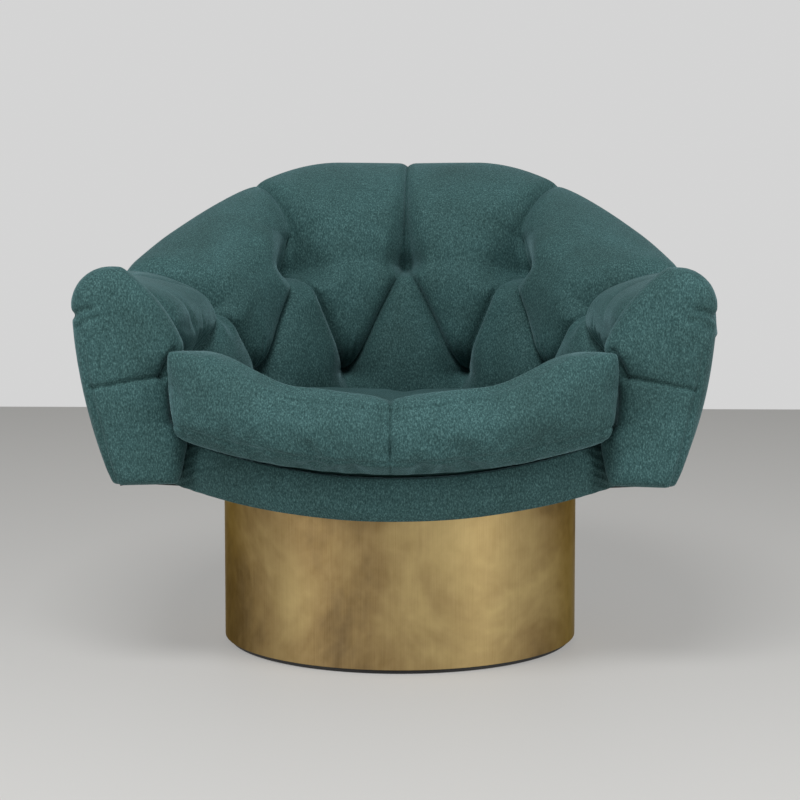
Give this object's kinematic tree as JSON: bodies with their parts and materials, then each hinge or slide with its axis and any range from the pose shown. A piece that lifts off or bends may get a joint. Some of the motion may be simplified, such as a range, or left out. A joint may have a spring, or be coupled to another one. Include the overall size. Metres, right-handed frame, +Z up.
{
  "type": "pedestal swivel armchair",
  "caption": "Low barrel armchair with a deep-tufted wrap-around plush back and arms and a loose seat cushion, turning on a brass-clad drum base.",
  "frame": {"origin": "on the swivel axis at the floor", "axes": "+Z up along the swivel axis; the sitter faces -Y; +X is on the right in a front view"},
  "size_m": [0.8974, 0.8573, 0.6839],
  "materials": {
    "plush": "short-pile plush",
    "deck_cloth": "plain woven deck cloth",
    "cambric": "black non-woven",
    "aged_brass": "antiqued, brushed, cloudy patina",
    "black_board": "black satin paint",
    "zinc_steel": "zinc plated",
    "plywood": "raw plywood",
    "fibreboard": "raw fibreboard",
    "hardwood": "raw hardwood"
  },
  "bodies": {
    "base": {"plinth_disc": "black_board", "drum_wall": "plywood", "drum_bottom_board": "plywood", "drum_top_board": "plywood", "brass_sleeve": "aged_brass", "drum_batten_1": "hardwood", "drum_batten_2": "hardwood", "drum_batten_3": "hardwood", "drum_batten_4": "hardwood", "lower_swivel_plate": "zinc_steel", "drum_bolts": "zinc_steel"},
    "seat": {"arm_front_left": "plush", "arm_front_right": "plush", "arm_post_left": "hardwood", "arm_post_right": "hardwood", "arm_top_rail_left": "hardwood", "arm_top_rail_right": "hardwood", "back_post_1": "hardwood", "back_post_2": "hardwood", "back_post_3": "hardwood", "back_post_4": "hardwood", "back_post_5": "hardwood", "back_seat_rail": "hardwood", "back_top_rail": "hardwood", "backing_board": "fibreboard", "front_rail": "hardwood", "front_rail_cover": "plush", "outside_cover": "plush", "seat_bolts": "zinc_steel", "seat_deck": "deck_cloth", "seat_platform": "plywood", "side_seat_rail_left": "hardwood", "side_seat_rail_right": "hardwood", "swivel_board": "plywood", "tufted_inside": "plush", "underside_cloth": "cambric", "upper_swivel_plate": "zinc_steel"},
    "cushion": {"seat_cushion": "plush"}
  },
  "joints": [
    {"name": "swivel", "type": "hinge", "parent": "base", "child": "seat", "pos_m": [0, 0, 0.214], "axis": [0, 0, 1], "continuous": true},
    {"name": "cushion_lift", "type": "slide", "parent": "seat", "child": "cushion", "axis": [0, -0.94, 0.3412], "range_m": [0, 0.45]}
  ]
}
